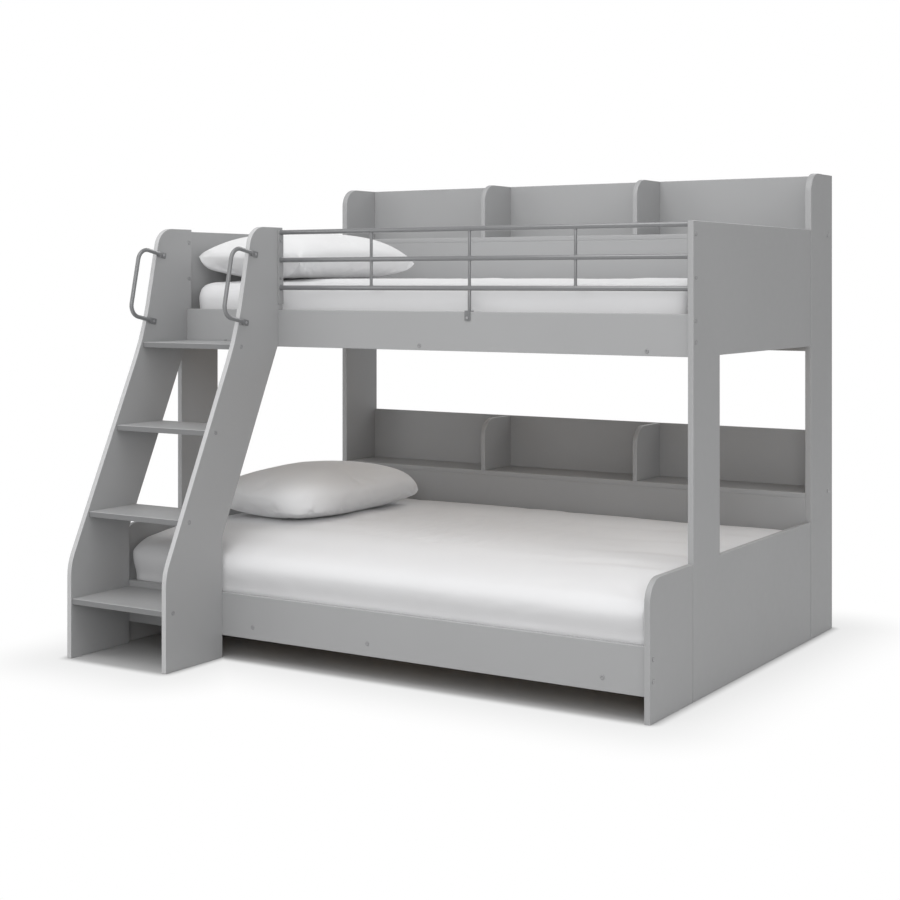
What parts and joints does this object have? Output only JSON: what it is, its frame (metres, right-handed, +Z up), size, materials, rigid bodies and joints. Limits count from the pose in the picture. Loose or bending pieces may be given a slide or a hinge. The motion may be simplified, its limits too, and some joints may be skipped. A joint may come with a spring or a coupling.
{
  "type": "triple bunk bed",
  "caption": "Grey panel bunk bed with a single bunk over a wider one, a sloping tread ladder with grab handles, a tubular guard rail and an open shelf unit along the back.",
  "frame": {"origin": "on the floor, under the middle of the whole bed's box", "axes": "+X along the bed to its foot end (right in the picture), +Y to the back, +Z up"},
  "size_m": [2.02, 1.683, 1.602],
  "materials": {
    "grey_board": "satin grey foil on engineered board",
    "grey_tube": "satin grey powder coat",
    "bare_wood": "planed pine",
    "steel": "zinc plated, grey caps",
    "mattress_cover": "white fitted cotton sheet",
    "pillow_case": "white cotton pillow case"
  },
  "bodies": {
    "frame": {"barrel_nuts": "steel", "bracket_screw": "steel", "centre_beam": "bare_wood", "centre_leg": "bare_wood", "guard_bolts": "steel", "guard_bottom_tube": "grey_tube", "guard_bracket": "grey_tube", "guard_left_end_bar": "grey_tube", "guard_middle_tube": "grey_tube", "guard_right_end_bar": "grey_tube", "guard_top_tube": "grey_tube", "guard_uprights": "grey_tube", "handle_screws": "steel", "ladder_bolts": "steel", "ladder_left_side": "grey_board", "ladder_right_side": "grey_board", "left_end_panel": "grey_board", "left_extension_panel": "grey_board", "left_grab_handle": "grey_tube", "left_tall_panel": "grey_board", "lower_back_batten": "bare_wood", "lower_back_board": "grey_board", "lower_back_fascia": "grey_board", "lower_front_batten": "bare_wood", "lower_front_rail": "grey_board", "lower_left_divider": "grey_board", "lower_right_divider": "grey_board", "lower_shelf": "grey_board", "lower_slats": "bare_wood", "lower_stretchers": "bare_wood", "panel_dowels": "bare_wood", "rail_bolts": "steel", "right_end_panel": "grey_board", "right_extension_panel": "grey_board", "right_grab_handle": "grey_tube", "right_tall_panel": "grey_board", "shelf_bolts": "steel", "stretcher_bolts": "steel", "tread_1": "grey_board", "tread_2": "grey_board", "tread_3": "grey_board", "tread_4": "grey_board", "tread_bolts": "steel", "upper_back_batten": "bare_wood", "upper_back_board": "grey_board", "upper_back_fascia": "grey_board", "upper_front_batten": "bare_wood", "upper_front_rail": "grey_board", "upper_left_divider": "grey_board", "upper_right_divider": "grey_board", "upper_shelf": "grey_board", "upper_slats": "bare_wood", "upper_stretchers": "bare_wood"},
    "upper_mattress_body": {"upper_mattress": "mattress_cover"},
    "lower_mattress_body": {"lower_mattress": "mattress_cover"},
    "upper_pillow_body": {"upper_pillow": "pillow_case"},
    "lower_pillow_body": {"lower_pillow": "pillow_case"}
  },
  "joints": [
    {"name": "upper_mattress_lift", "type": "slide", "parent": "frame", "child": "upper_mattress_body", "axis": [0, 0, 1], "range_m": [0, 0.3]},
    {"name": "lower_mattress_lift", "type": "slide", "parent": "frame", "child": "lower_mattress_body", "axis": [0, 0, 1], "range_m": [0, 0.06]},
    {"name": "upper_pillow_lift", "type": "slide", "parent": "upper_mattress_body", "child": "upper_pillow_body", "axis": [0, 0, 1], "range_m": [0, 0.3]},
    {"name": "lower_pillow_lift", "type": "slide", "parent": "lower_mattress_body", "child": "lower_pillow_body", "axis": [0, 0, 1], "range_m": [0, 0.3]}
  ]
}
